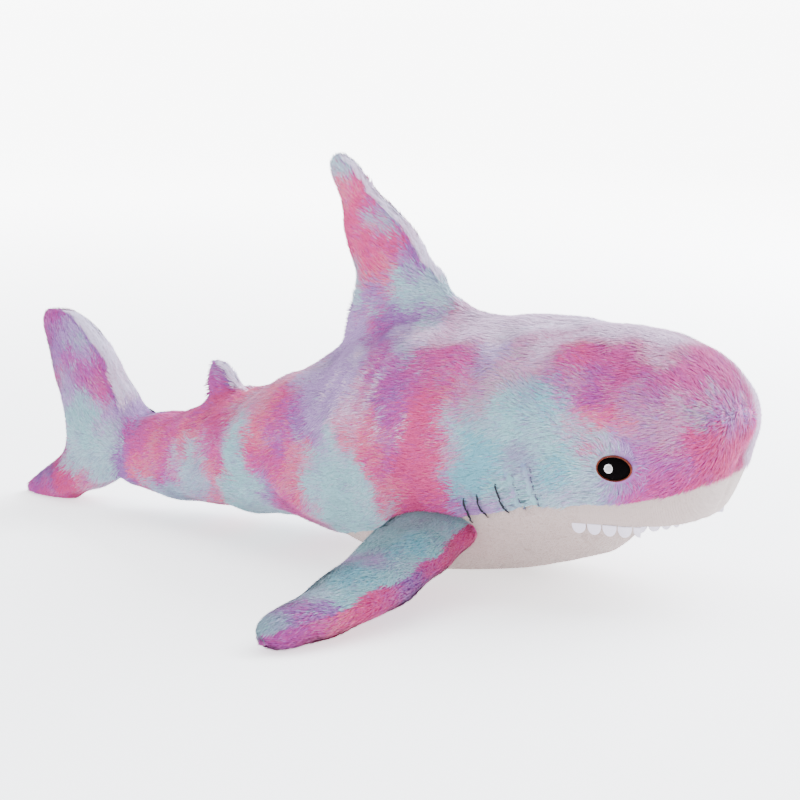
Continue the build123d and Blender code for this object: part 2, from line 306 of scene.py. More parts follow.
parts.append(hull(np.vstack([dorsal_root, dorsal_root - 0.014 * DORSAL_OUT])))
# The cloth sweeps down from the fin to the back: stations (x, z, half width) in mm.
REAR_SWEEP = [(6, 180, 6.5), (2.5, 171, 7), (0.5, 161, 8), (-2.5, 150, 10), (-9.5, 140, 14), (-22, 131, 20)]
FRONT_SWEEP = [(75, 200, 6), (84, 191, 7), (92, 184, 9), (103, 177.5, 13), (118, 173.5, 20)]
for sweep, lean in ((REAR_SWEEP, 3), (FRONT_SWEEP, -3)):
    rings = []
    for x, z, half in sweep:
        rings.append([
            (x + lean * d, half * k * (0.4 + 0.6 * min(1, d)), z - d * (0.6 * half + 9 * max(0, d - 1)))
            for k in (-1, 1) for d in (0, 1, 2.2)
        ])
    for one, two in zip(rings, rings[1:]):
        parts.append(hull(np.array(one + two) * MM))

body = Skin(*voxel_skin(parts, VOXEL))
out_of_back = above_back(body.co)
along_back = (body.co - DORSAL_REAR) @ DORSAL_RUN
dorsal_zone = (
    ease(-0.055, -0.02, along_back) * ease(0.155, 0.12, along_back)
    * ease(-0.05, -0.02, out_of_back) * ease(0.075, 0.03, out_of_back)
)
x, z = body.co[:, 0], body.co[:, 2]
second_zone = ease(-0.155, -0.14, x) * ease(-0.05, -0.07, x) * ease(0.07, 0.085, z)
tail_zone = ease(-0.02, -0.008, behind_tail(body.co)) * ease(0.05, 0.03, behind_tail(body.co))
body.fill(90, dorsal_zone)
body.smooth(6, 0.6 * dorsal_zone * ease(0.03, 0.0, out_of_back))
body.fill(25, second_zone)
body.fill(30, tail_zone)
ledge = (body.co[:, 0] > MOUTH_X - 0.006) & (np.abs(body.co[:, 2] - MOUTH_Z) < 0.009)
body.taubin(6, np.where(ledge, 0.35, 1.0))

# Pieces: which cloth each face is cut from.
SIDE_R, SIDE_L, BELLY, LIP, LINING, TAIL_R, TAIL_L = range(7)


def label_faces(skin):
    middle = skin.co[skin.quads].mean(1)
    q = skin.co[skin.quads]
    face = np.cross(q[:, 2] - q[:, 0], q[:, 3] - q[:, 1])
    face /= np.linalg.norm(face, axis=1)[:, None]
    label = np.where(middle[:, 1] < 0, SIDE_R, SIDE_L)
    white = middle[:, 2] < seam_height(middle[:, 0])
    label[white] = BELLY
    label[white & (middle[:, 0] > MOUTH_X) & (middle[:, 2] > MOUTH_Z - 0.0012)] = LIP
    under = (middle[:, 0] > MOUTH_X) & (np.abs(middle[:, 2] - MOUTH_Z) < 0.004) & (face[:, 2] < -0.75)
    label[under] = LINING
    tail = behind_tail(middle) > 0
    label[tail] = np.where(middle[tail][:, 1] < 0, TAIL_R, TAIL_L)
    return label


labels = label_faces(body)


def snap(skin, label, pair, distance, ahead):
    """Moves the vertices between two groups of faces onto the line where distance is 0."""
    n = len(skin.co)
    has = [np.zeros(n, bool), np.zeros(n, bool)]
    for k, group in enumerate(pair):
        has[k][skin.quads[np.isin(label, group)].ravel()] = True
    edge = has[0] & has[1]
    normal = skin.normals()[edge]
    way = ahead - (normal @ np.array(ahead, float))[:, None] * normal
    size = np.linalg.norm(way, axis=1)
    gap = distance(skin.co[edge])
    shift = -way / np.maximum(size, 0.3)[:, None] * (gap / np.maximum(size, 0.3))[:, None]
    limit = np.minimum(1, 0.7 * VOXEL / np.maximum(np.linalg.norm(shift, axis=1), 1e-9))
    skin.co[edge] += shift * limit[:, None]


snap(body, labels, ([SIDE_R, SIDE_L], [BELLY, LIP]), lambda p: p[:, 2] - seam_height(p[:, 0]), (0, 0, 1))
snap(body, labels, ([SIDE_R, TAIL_R], [SIDE_L, TAIL_L]), lambda p: p[:, 1], (0, 1, 0))
snap(body, labels, ([TAIL_R, TAIL_L], [SIDE_R, SIDE_L, BELLY]), behind_tail, -TAIL_AHEAD)

# Soft shape: the cloth pulls in along its seams, and the filling makes low lumps.
from_belly = body.co[:, 2] - seam_height(body.co[:, 0])
from_tail = np.abs(behind_tail(body.co))
normal = body.normals()
side_on = np.abs(normal[:, 1])
groove = 0.0011 * np.exp(-(from_belly / 0.0035) ** 2) * (body.co[:, 0] > 0) * ease(0.2, 0.6, side_on)
groove += 0.0022 * np.exp(-(from_tail / 0.005) ** 2)
top_seam = np.exp(-(body.co[:, 1] / 0.0032) ** 2) * ease(-0.2, 0.1, normal[:, 2] + 0.6 * normal[:, 0])
groove += 0.0010 * top_seam * (body.co[:, 0] < 0.302)
# Gill stitches: (low x, low z), (high x, high z) in mm, and how far in the thread pulls, in m.
GILLS = [
    ((143, 49), (139, 67), 0.0006), ((155, 54), (150, 72), 0.0006), ((170, 59), (163, 80), 0.0006),
    ((181, 62), (174, 88), 0.0017), ((191, 65), (186, 93), 0.0015),
]


def gill_pull(points):
    """How far the gill threads pull the cloth in, with puckers beside the deep ones."""
    total = np.zeros(len(points))
    for low, high, deep in GILLS:
        gap, t = to_line(points[:, [0, 2]], np.array(low) * MM, np.array(high) * MM)
        along = t * math.dist(low, high) * MM
        ripple = 1 + 0.5 * np.sin(along / 0.0046 * 2 * math.pi) * (deep > 0.001)
        total += deep * ripple * np.exp(-(gap / 0.0030) ** 2)
        total -= 0.35 * deep * np.exp(-((gap - 0.006) / 0.003) ** 2)
    return total * (np.abs(points[:, 1]) > 0.03)


groove += gill_pull(body.co)
# The jaw sits back under the lip, whose lower edge hangs a little.
JAW_BACK, JAW_NARROWER, LIP_DROP = 0.017, 0.10, 0.0045
jaw = ease(0.200, 0.262, body.co[:, 0]) * ease(MOUTH_Z + 0.001, MOUTH_Z - 0.007, body.co[:, 2])
body.co[:, 0] -= JAW_BACK * jaw
body.co[:, 1] *= 1 - JAW_NARROWER * jaw
x, z = body.co[:, 0], body.co[:, 2]
body.co[:, 2] -= LIP_DROP * ease(0.185, 0.225, x) * ease(0.082, MOUTH_Z, z) * ease(0.034, MOUTH_Z, z)
LIP_Z = MOUTH_Z - LIP_DROP
DART = [(0.3005, 0, 0.1225), (0.2925, -0.024, 0.1165)]


def from_dart(points):
    """Distance from the dart that is sewn into each side of the nose."""
    folded = points * (1, -1, 1)
    folded[:, 1] = -np.abs(points[:, 1])
    return to_line(folded, *DART)


dart_gap, dart_t = from_dart(body.co)
groove += 0.0026 * np.exp(-(dart_gap / 0.0024) ** 2) * (1 - 0.6 * dart_t)
lumps = 0.0011 * wobble(body.co, 0.085, 3) + 0.0006 * wobble(body.co, 0.035, 4)
calm = np.where(ledge | (from_belly < 0.004), 0.35, 1.0)
base_rise = ease(0.0005, 0.012, body.co[:, 2])
thin = np.maximum(ease(0.004, 0.020, above_back(body.co)), ease(0.006, 0.024, behind_tail(body.co)))
thin = np.maximum(thin, ease(0.098, 0.108, body.co[:, 2]) * (body.co[:, 0] < -0.085))
inset = PILE * (1 - 0.75 * thin)
body.co = body.co + ((lumps * calm * (1 - 0.6 * thin) - inset - groove) * base_rise)[:, None] * normal
body.taubin(2, np.where(ledge, 0.2, 1.0))


def fin_skin(names, root, inward, voxel):
    """Closed skin of a fin whose root runs on inside the body, so no gap opens there."""
    pieces = [node_arrays(n) for n in names]
    every = np.vstack([p[0] for p in pieces])
    near = every[root(every)]
    pieces.append(hull(np.vstack([near, near + np.array(inward)])))
    skin = Skin(*voxel_skin(pieces, voxel))
    skin.taubin(5)
    return skin


# ------------------------------------------------------------------------- colours
ROSE, HOT, CORAL = (0.70, 0.18, 0.43), (0.78, 0.12, 0.33), (0.90, 0.29, 0.39)
MAGENTA, PURPLE, VIOLET = (0.54, 0.13, 0.42), (0.34, 0.18, 0.50), (0.47, 0.33, 0.67)
LAVENDER, PALE, MIST = (0.64, 0.48, 0.80), (0.84, 0.68, 0.84), (0.50, 0.60, 0.74)
AQUA, TEAL, SKY = (0.50, 0.78, 0.82), (0.27, 0.66, 0.75), (0.62, 0.80, 0.88)
# The second colour here is the pale blue-white of the painted highlight from the back light, not a dye
# colour.
PINKISH, PAINTED_HIGHLIGHT = (0.84, 0.45, 0.61), (0.76, 0.82, 0.98)

# Dye patches on the sides: x, z and radius in mm, colour, strength.
DYE = [
    # back of the head and shoulder
    (105, 168, 13, ROSE, 1.0), (125, 158, 15, ROSE, 0.9), (145, 152, 14, LAVENDER, 1.0),
    (165, 146, 12, PINKISH, 1.0), (150, 135, 8, CORAL, 1.0), (126, 132, 9, CORAL, 1.0),
    (183, 160, 15, PINKISH, 1.0), (205, 153, 11, HOT, 1.2), (218, 158, 9, ROSE, 1.0),
    (222, 143, 8, PURPLE, 1.1), (217, 127, 10, CORAL, 1.3), (205, 141, 7, MIST, 0.9),
    (190, 145, 9, VIOLET, 0.9), (240, 158, 16, ROSE, 1.0), (262, 155, 14, ROSE, 1.1),
    (250, 142, 8, VIOLET, 0.9), (240, 130, 14, CORAL, 1.0), (262, 134, 9, VIOLET, 0.9),
    (285, 142, 14, ROSE, 1.3), (275, 130, 9, PINKISH, 1.2), (268, 122, 9, PALE, 1.2),
    (289, 129, 7, SKY, 1.6), (297, 128, 5, PURPLE, 1.4), (300, 112, 9, HOT, 1.6),
    (298, 121, 4, VIOLET, 1.3), (292, 112, 6, HOT, 1.3),
    # cheek and nose
    (262, 109, 9, PURPLE, 1.1), (250, 112, 9, LAVENDER, 0.9), (280, 101, 6, VIOLET, 1.8),
    (278, 112, 9, MAGENTA, 1.2), (290, 97, 16, HOT, 1.5), (272, 88, 12, MAGENTA, 1.2),
    (262, 82, 9, HOT, 1.0), (250, 84, 8, VIOLET, 0.9), (246, 95, 8, LAVENDER, 0.9),
    (238, 78, 8, MIST, 1.0), (225, 80, 9, SKY, 1.1), (228, 94, 10, SKY, 1.2),
    # aqua round the eye and the gills
    (165, 126, 17, AQUA, 1.4), (190, 131, 13, TEAL, 1.2), (200, 122, 9, AQUA, 1.2),
    (160, 101, 13, TEAL, 1.3), (145, 84, 10, TEAL, 1.2), (165, 85, 11, AQUA, 1.0),
    (182, 98, 7, VIOLET, 1.2), (173, 92, 6, PURPLE, 0.6), (195, 86, 10, MIST, 0.9),
    (208, 95, 9, TEAL, 1.4), (212, 110, 12, SKY, 1.2), (185, 112, 12, SKY, 1.2),
    (232, 108, 8, SKY, 1.0), (198, 74, 10, SKY, 1.0), (178, 72, 10, AQUA, 0.8),
    (212, 76, 8, LAVENDER, 0.8), (160, 66, 8, LAVENDER, 0.9), (140, 62, 8, VIOLET, 0.9),
    # shoulder to the middle
    (108, 142, 13, ROSE, 1.2), (94, 134, 10, MAGENTA, 1.1), (118, 122, 12, HOT, 1.1),
    (98, 114, 11, CORAL, 1.0), (110, 102, 13, HOT, 1.3), (98, 90, 13, HOT, 1.5),
    (118, 84, 8, CORAL, 1.0), (128, 98, 8, PINKISH, 1.1), (134, 112, 7, SKY, 0.9),
    (106, 71, 11, HOT, 1.3), (122, 62, 9, HOT, 1.4), (88, 68, 9, CORAL, 1.1),
    (84, 152, 8, SKY, 1.1), (72, 161, 9, VIOLET, 1.0), (73, 141, 11, MAGENTA, 1.2),
    (80, 121, 9, PURPLE, 1.2), (86, 100, 7, VIOLET, 1.0), (84, 86, 7, PURPLE, 1.0),
    (60, 150, 9, MAGENTA, 1.0), (60, 131, 9, PINKISH, 1.0), (66, 104, 10, CORAL, 1.2),
    (72, 86, 9, CORAL, 1.1), (52, 112, 8, PALE, 1.0), (47, 94, 8, SKY, 1.1),
    (45, 76, 10, AQUA, 1.2), (50, 55, 11, AQUA, 1.3), (66, 60, 9, SKY, 0.9),
    (30, 112, 11, LAVENDER, 1.1), (16, 122, 13, LAVENDER, 1.2), (40, 132, 9, LAVENDER, 1.0),
    (30, 92, 8, VIOLET, 0.9), (22, 70, 9, AQUA, 1.1), (26, 50, 11, AQUA, 1.1),
    (6, 98, 8, PURPLE, 1.1), (2, 84, 9, CORAL, 1.3), (12, 72, 8, CORAL, 1.0),
    (-2, 62, 10, CORAL, 1.3), (-10, 46, 9, ROSE, 1.1), (8, 40, 8, PINKISH, 0.8),
    # middle to the tail stock
    (-14, 88, 8, PURPLE, 1.1), (-14, 73, 8, ROSE, 1.1), (-30, 102, 12, CORAL, 1.3),
    (-10, 108, 9, ROSE, 1.0), (-45, 112, 9, PINKISH, 1.0), (-36, 84, 8, CORAL, 1.2),
    (-34, 66, 8, ROSE, 1.2), (-26, 50, 8, VIOLET, 0.8), (-50, 52, 10, AQUA, 1.3),
    (-58, 66, 9, AQUA, 1.3), (-56, 80, 7, AQUA, 1.1), (-62, 92, 7, SKY, 0.9),
    (-44, 38, 9, SKY, 1.1), (-74, 98, 8, CORAL, 1.1), (-84, 84, 9, ROSE, 1.3),
    (-84, 66, 8, ROSE, 1.2), (-80, 50, 8, CORAL, 1.3), (-72, 36, 7, AQUA, 1.0),
    (-99, 60, 7, SKY, 1.2), (-100, 42, 8, MIST, 1.1), (-92, 30, 7, CORAL, 0.8),
    (-98, 92, 7, HOT, 1.3), (-114, 104, 8, MAGENTA, 1.3), (-111, 120, 6, LAVENDER, 1.3),
    (-114, 74, 8, CORAL, 1.2), (-118, 50, 7, SKY, 1.2), (-128, 72, 8, ROSE, 1.0),
    (-132, 50, 8, ROSE, 1.3), (-132, 34, 6, MIST, 0.9), (-146, 60, 8, CORAL, 1.2),
    (-142, 42, 7, MAGENTA, 0.9), (-158, 46, 8, CORAL, 1.3), (-162, 64, 8, ROSE, 1.2),
    (-172, 42, 7, CORAL, 1.0), (-178, 54, 7, MAGENTA, 1.4), (-188, 42, 7, PURPLE, 1.5),
    (-184, 66, 6, VIOLET, 1.2), (-150, 26, 8, MIST, 0.9),
    # tail fin
    (-204, 52, 10, SKY, 1.3), (-206, 74, 9, LAVENDER, 1.1), (-214, 90, 8, ROSE, 0.9),
    (-236, 60, 12, AQUA, 1.4), (-232, 78, 9, AQUA, 1.2), (-218, 36, 10, SKY, 1.2),
    (-236, 40, 10, SKY, 1.2), (-230, 98, 9, MAGENTA, 1.2), (-246, 96, 8, VIOLET, 1.1),
    (-252, 80, 8, LAVENDER, 1.2), (-247, 107, 8, MAGENTA, 1.2), (-237, 116, 6, MIST, 1.3),
    (-228, 112, 6, LAVENDER, 1.0), (-260, 128, 8, PURPLE, 1.5), (-270, 138, 9, MAGENTA, 1.2),
    (-250, 130, 7, LAVENDER, 1.0), (-272, 118, 7, MAGENTA, 1.2), (-264, 108, 7, VIOLET, 1.2),
    (-262, 92, 7, ROSE, 0.9), (-256, 62, 6, LAVENDER, 1.1), (-258, 46, 6, ROSE, 1.0),
    (-258, 28, 8, HOT, 1.5), (-246, 14, 8, HOT, 1.2), (-228, 14, 7, PINKISH, 1.0),
    (-274, 22, 8, PURPLE, 1.5), (-288, 14, 8, MAGENTA, 1.2), (-272, 6, 8, ROSE, 1.0),
    # dorsal fin
    (-6, 272, 9, SKY, 1.8), (4, 264, 5, AQUA, 1.2), (8, 252, 10, CORAL, 1.6),
    (18, 242, 9, HOT, 1.3), (35, 231, 6, MIST, 1.5), (22, 230, 6, PINKISH, 1.0),
    (14, 224, 8, HOT, 1.2), (26, 215, 10, HOT, 1.5), (46, 216, 8, HOT, 1.2),
    (34, 203, 9, CORAL, 1.3), (16, 205, 8, CORAL, 1.2), (55, 193, 7, AQUA, 1.3),
    (18, 190, 7, AQUA, 1.3), (40, 194, 7, CORAL, 1.0), (62, 206, 7, VIOLET, 1.1),
    (70, 190, 8, SKY, 1.1), (32, 184, 7, VIOLET, 1.1), (46, 180, 7, MIST, 1.0),
    (84, 184, 9, SKY, 1.0), (30, 172, 8, ROSE, 0.9), (52, 168, 8, PURPLE, 1.1),
    (18, 168, 8, LAVENDER, 1.1), (4, 158, 9, LAVENDER, 1.2), (8, 180, 6, SKY, 1.0),
]


# Dye patches on a pectoral fin, above and below its front seam: x, y, z and radius in mm.
FIN_TOP = [
    (105, -105, 55, 14, SKY, 1.2), (125, -108, 54, 14, SKY, 1.3), (140, -112, 44, 10, AQUA, 1.2),
    (128, -128, 44, 12, TEAL, 1.1), (104, -132, 46, 13, AQUA, 1.2), (138, -140, 32, 10, SKY, 1.2),
    (118, -150, 38, 10, VIOLET, 1.2), (98, -152, 40, 12, LAVENDER, 1.1), (130, -164, 26, 10, AQUA, 1.3),
    (110, -172, 34, 12, TEAL, 1.2), (94, -182, 32, 12, SKY, 1.2), (124, -186, 20, 9, AQUA, 1.2),
    (108, -200, 25, 11, SKY, 1.2), (122, -208, 15, 8, PURPLE, 1.4), (90, -206, 24, 12, MIST, 1.1),
    (104, -224, 18, 10, MAGENTA, 0.9), (112, -232, 10, 8, PURPLE, 1.3), (92, -232, 14, 11, AQUA, 1.1),
    (96, -244, 9, 10, MIST, 1.2), (88, -118, 40, 12, AQUA, 1.0),
]
FIN_UNDER = [
    (145, -104, 34, 14, HOT, 1.5), (140, -128, 24, 12, ROSE, 1.4), (134, -146, 18, 11, PURPLE, 1.5),
    (130, -164, 12, 11, ROSE, 1.4), (126, -182, 9, 10, HOT, 1.3), (120, -200, 6, 11, CORAL, 1.3),
    (112, -220, 4, 11, ROSE, 1.3), (104, -236, 3, 10, MAGENTA, 1.3), (115, -140, 10, 14, ROSE, 1.1),
    (100, -180, 4, 14, CORAL, 1.0), (92, -215, 2, 13, LAVENDER, 1.0), (95, -130, 15, 14, HOT, 1.0),
]


def soft_mix(points, patches, sharpness=0.72):
    """Blend of the patches' colours; points and places have the same number of axes."""
    total = np.full(len(points), 1e-5)
    colour = np.tile(np.array(LAVENDER) * 1e-5, (len(points), 1))
    for *place, radius, tint, strength in patches:
        gap = ((points - np.array(place) * MM) ** 2).sum(1)
        w = strength * np.exp(-sharpness * gap / (radius * MM) ** 2)
        total += w
        colour += w[:, None] * np.array(tint)
    return colour / total[:, None]


def ragged(points, offset=0):
    """How far the dye has run at each point, in metres."""
    shift = np.stack([wobble(points, 0.030, s + offset) for s in (11, 12, 13)], axis=1) * 0.0034
    shift += np.stack([wobble(points, 0.012, s + offset) for s in (14, 15, 16)], axis=1) * 0.0030
    return shift + np.stack([wobble(points, 0.005, s + offset) for s in (17, 18, 19)], axis=1) * 0.0016


def mix(colour, other, share):
    return colour * (1 - share) + np.array(other) * share


DYE_GAIN, DYE_STRENGTH = 0.43, 1.56


def tone(colour, gain, strength):
    """Deeper, stronger colour: the studio light washes it out again."""
    grey = colour.mean(-1, keepdims=True)
    return np.clip((grey + strength * (colour - grey)) * gain, 0.01, 0.95)


def mottle_and_paint_highlight(points, colour, normals):
    """Cloudy bleaching and dark specks, then painted highlight from the back light on upper faces, on a
    strip of the head and on the fins' front edges, and the dark seam on a fin's front edge.
    """
    for share, low, high, scale, seed, other in (
        (0.16, 0.3, 1.6, 0.032, 21, PALE),
        (0.14, 0.4, 1.5, 0.009, 23, PALE),
        (0.30, 0.6, 1.6, 0.010, 22, PURPLE),
    ):
        colour = mix(colour, other, share * ease(low, high, wobble(points, scale, seed))[:, None])
    colour = tone(colour, DYE_GAIN, DYE_STRENGTH)
    # Painted highlight: upper faces, a strip on the left side of the head and the fins' front edges are
    # mixed toward pale blue-white, as if lit by the back light.
    up = normals[:, 2] + 0.03 * wobble(points, 0.03, 24)
    highlight_share = 0.8 * ease(0.76, 1.0, up) * ease(0.10, 0.15, points[:, 2])
    body_front = (points[:, 0] > 0.12) & (np.abs(points[:, 1]) < 0.075)
    head_highlight_strip = 0.9 * ease(0.006, 0.024, points[:, 1]) * ease(0.064, 0.044, points[:, 1])
    highlight_share = np.maximum(highlight_share, head_highlight_strip * ease(0.35, 0.75, normals[:, 0] + normals[:, 2]) * body_front)
    fin = np.maximum(ease(0.004, 0.014, above_back(points)), ease(0.008, 0.020, behind_tail(points)))
    fin = np.maximum(fin, ease(0.096, 0.104, points[:, 2]) * (points[:, 0] < -0.085))
    lead = 0.76 * normals[:, 0] + 0.65 * np.maximum(normals[:, 2], 0)
    highlight_share = np.maximum(highlight_share, fin * ease(0.60, 0.72, lead))
    seam = (0.7 * fin * np.exp(-((lead - 0.57) / 0.05) ** 2))[:, None]
    highlight_share = 0.55 * highlight_share[:, None]
    colour = mix(colour, 0.82 * np.array(PAINTED_HIGHLIGHT), highlight_share)
    return mix(colour, 0.42 * colour, seam)


# Folds where the pile parts, with painted highlight along them: (low x, low z, high x, high z) in mm.
CREASES = [
    (30, 98, 44, 150), (38, 92, 50, 140), (46, 96, 62, 158), (56, 88, 70, 136),
    (72, 92, 82, 128), (64, 118, 76, 150), (92, 92, 100, 122), (20, 110, 26, 138),
]


def crease_highlight_share(points):
    """How much painted highlight the pile gets where it parts."""
    total = np.zeros(len(points))
    flat = points[:, [0, 2]] + 0.0012 * wobble(points, 0.02, 51)[:, None]
    for low_x, low_z, high_x, high_z in CREASES:
        gap, t = to_line(flat, np.array((low_x, low_z)) * MM, np.array((high_x, high_z)) * MM)
        total = np.maximum(total, np.exp(-(gap / 0.0014) ** 2) * np.sin(math.pi * np.clip(t, 0.05, 0.95)))
    return (total * (np.abs(points[:, 1]) > 0.02))[:, None]


def dye(points, normals):
    """Colour of the tie-dyed plush of the body, dorsal fin and tail fin, with painted highlight mixed in."""
    spots = points + ragged(points)
    far = points[:, 1] > 0.006
    spots[:, 0] += np.where(far, 0.012 * np.sin(points[:, 2] * 60 + 1.3), 0)
    spots[:, 2] += np.where(far, 0.010 * np.sin(points[:, 0] * 45 + 0.4), 0)
    colour = mottle_and_paint_highlight(points, soft_mix(spots[:, [0, 2]], DYE), normals)
    dart = 0.85 * np.exp(-(from_dart(points)[0] / 0.0018) ** 2)[:, None]
    colour = mix(colour, 0.25 * np.array(PURPLE), dart)
    # Painted highlight along the folds of the pile.
    return mix(colour, 0.62 * np.array(PAINTED_HIGHLIGHT), 0.55 * crease_highlight_share(points))


# The second cream is a darker copy: painted shade, which cream() blends in from just above the mouth
# downwards.
CREAM, CREAM_IN_SHADE = np.array((0.38, 0.30, 0.285)), np.array((0.36, 0.275, 0.255))


# ---------------------------------------------------------------------- materials
def put(node, values):
    for socket, value in values.items():
        node.inputs[socket].default_value = value


def plain_material(name, colour, roughness, sheen=0.0):
    material = bpy.data.materials.new(name)
    material.use_nodes = True
    put(material.node_tree.nodes["Principled BSDF"], {
        "Base Color": (*colour, 1), "Roughness": roughness, "Specular IOR Level": 0.25,
        "Sheen Weight": sheen, "Sheen Roughness": 0.4, "Sheen Tint": (1, 1, 1, 1),
    })
    return material


def add_bump(material, height, strength, distance):
    """Small relief on a material, from a height output."""
    tree = material.node_tree
    bump = tree.nodes.new("ShaderNodeBump")
    put(bump, {"Strength": strength, "Distance": distance})
    tree.links.new(height, bump.inputs["Height"])
    tree.links.new(bump.outputs["Normal"], tree.nodes["Principled BSDF"].inputs["Normal"])


def cloth_material(name, colour=None, scale=900, depth=0.3, vary=0.12, weave=True):
    """Backing cloth: a colour, or the colours painted on the mesh, with weave and mottling."""
    material = plain_material(name, colour or (0.8, 0.8, 0.8), 0.85, 0.25)
    make, link = material.node_tree.nodes.new, material.node_tree.links.new
    place, grain = make("ShaderNodeTexCoord"), make("ShaderNodeTexNoise")
    put(grain, {"Scale": scale, "Detail": 4})
    link(place.outputs["Object"], grain.inputs["Vector"])
    ramp = make("ShaderNodeMapRange")
    put(ramp, {"To Min": 1 - vary, "To Max": 1 + vary * 0.6})
    link(grain.outputs["Fac"], ramp.inputs["Value"])
    shade = make("ShaderNodeVectorMath")
    shade.operation = "SCALE"
    if colour is None:
        source = make("ShaderNodeAttribute")
        source.attribute_name = "dye"
        link(source.outputs["Color"], shade.inputs[0])
    else:
        shade.inputs[0].default_value = colour
    link(ramp.outputs["Result"], shade.inputs["Scale"])
    link(shade.outputs["Vector"], material.node_tree.nodes["Principled BSDF"].inputs["Base Color"])
    height = grain.outputs["Fac"]
    if weave:
        threads, both = make("ShaderNodeTexWave"), make("ShaderNodeMath")
        put(threads, {"Scale": scale * 0.35, "Distortion": 2.0})
        link(place.outputs["Object"], threads.inputs["Vector"])
        both.operation = "ADD"
        link(threads.outputs["Fac"], both.inputs[0])
        link(grain.outputs["Fac"], both.inputs[1])
        height = both.outputs["Value"]
    add_bump(material, height, depth, 0.0006)
    return material


# The tie-dye backing shows the vertex colours: dye patterns with painted highlight mixed in.
DYE_AND_HIGHLIGHT_CLOTH = cloth_material("tie_dye_highlight_backing")
WHITE = cloth_material("cream_backing", tuple(CREAM), 700, 0.25, 0.06)
LINING_CLOTH = cloth_material("mouth_lining_cloth", (0.42, 0.33, 0.30), 1100, 0.35, 0.08)


# ---------------------------------------------------------------- finished skins
def cut_out(name, skin, faces, material, colours=None):
    """One piece of the skin as an object of its own."""
    used, where = np.unique(skin.quads[faces], return_inverse=True)
    obj = new_object(name, skin.co[used], where.reshape(-1, 4).tolist())
    obj.data.materials.append(material)
    if colours is not None:
        # For tie-dye pieces these colours carry the painted highlight as well as the dye.
        attribute = obj.data.color_attributes.new("dye", "FLOAT_COLOR", "POINT")
        attribute.data.foreach_set("color", np.hstack([colours[used], np.ones((len(used), 1))]).ravel())
    return obj


body_dye_and_highlight = dye(body.co, body.normals())


def bend_dorsal(obj):
    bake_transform(obj)


def bend_tail(obj):
    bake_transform(obj)


def ride_body(obj):
    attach(obj, "body")


BODY_PIECES = [
    ("plush_side_right", SIDE_R, DYE_AND_HIGHLIGHT_CLOTH, bend_dorsal, "tie_dye_plush",
     ["side_panel_right", "dorsal_fin_panel_right", "body_stuffing", "dorsal_fin_stuffing"]),
    ("plush_side_left", SIDE_L, DYE_AND_HIGHLIGHT_CLOTH, bend_dorsal, "tie_dye_plush",
     ["side_panel_left", "dorsal_fin_panel_left"]),
    ("plush_belly", BELLY, WHITE, ride_body, "cream_short_plush", ["belly_panel"]),
    ("plush_upper_lip", LIP, WHITE, ride_body, "cream_short_plush", ["upper_lip_panel"]),
    ("mouth_lining_cloth", LINING, LINING_CLOTH, ride_body, "lining_cloth",
     ["mouth_lining_upper", "mouth_lining_lower"]),
    ("plush_tail_right", TAIL_R, DYE_AND_HIGHLIGHT_CLOTH, bend_tail, "tie_dye_plush",
     ["tail_fin_panel_right", "tail_fin_stuffing"]),
    ("plush_tail_left", TAIL_L, DYE_AND_HIGHLIGHT_CLOTH, bend_tail, "tie_dye_plush", ["tail_fin_panel_left"]),
]
for name, label, material, hold, slot, hidden in BODY_PIECES:
    piece = cut_out(name, body, labels == label, material, body_dye_and_highlight if material is DYE_AND_HIGHLIGHT_CLOTH else None)
    hold(piece)
    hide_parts(*hidden)


# ------------------------------------------------------------------------ fur
PALETTE_SIZE = 30


def quantise(colours, size):
    """A palette for the colours and each one's place in it."""
    pick = np.random.default_rng(5)
    sample = colours[pick.choice(len(colours), min(6000, len(colours)), replace=False)]
    centres = sample[pick.choice(len(sample), size, replace=False)].copy()
    for _ in range(12):
        near = ((sample[:, None] - centres[None]) ** 2).sum(2).argmin(1)
        for k in range(size):
            if (near == k).any():
                centres[k] = sample[near == k].mean(0)
    index = np.empty(len(colours), int)
    for start in range(0, len(colours), 20000):
        part = colours[start:start + 20000]
        index[start:start + 20000] = ((part[:, None] - centres[None]) ** 2).sum(2).argmin(1)
    return centres, index


def scatter(skin, faces, density):
    """Random points on some faces: place, normal."""
    quads = skin.quads[faces]
    q = skin.co[quads]
    area = 0.5 * np.linalg.norm(np.cross(q[:, 2] - q[:, 0], q[:, 3] - q[:, 1]), axis=1)
    expected = area * density * 1e6
    count = np.floor(expected + rng.random(len(expected))).astype(int)
    face = np.repeat(np.arange(len(quads)), count)
    u, v = rng.random((2, len(face)))
    w = np.stack([(1 - u) * (1 - v), u * (1 - v), u * v, (1 - u) * v], axis=1)
    normals = skin.normals()
    place = (skin.co[quads[face]] * w[:, :, None]).sum(1)
    normal = (normals[quads[face]] * w[:, :, None]).sum(1)
    return place, normal / np.linalg.norm(normal, axis=1)[:, None]


def unit(v):
    return v / np.maximum(np.linalg.norm(v, axis=1), 1e-9)[:, None]


def comb(place, normal, way, turn=0.16):
    """The way the pile lies: along way, turned a little by noise, flat on the cloth."""
    flat = unit(way - np.sum(way * normal, axis=1)[:, None] * normal)
    across = np.cross(normal, flat)
    angle = turn * (wobble(place, 0.05, 31) + 0.8 * wobble(place, 0.018, 32))
    angle += rng.normal(0, 0.10, len(place))
    return flat * np.cos(angle)[:, None] + across * np.sin(angle)[:, None]


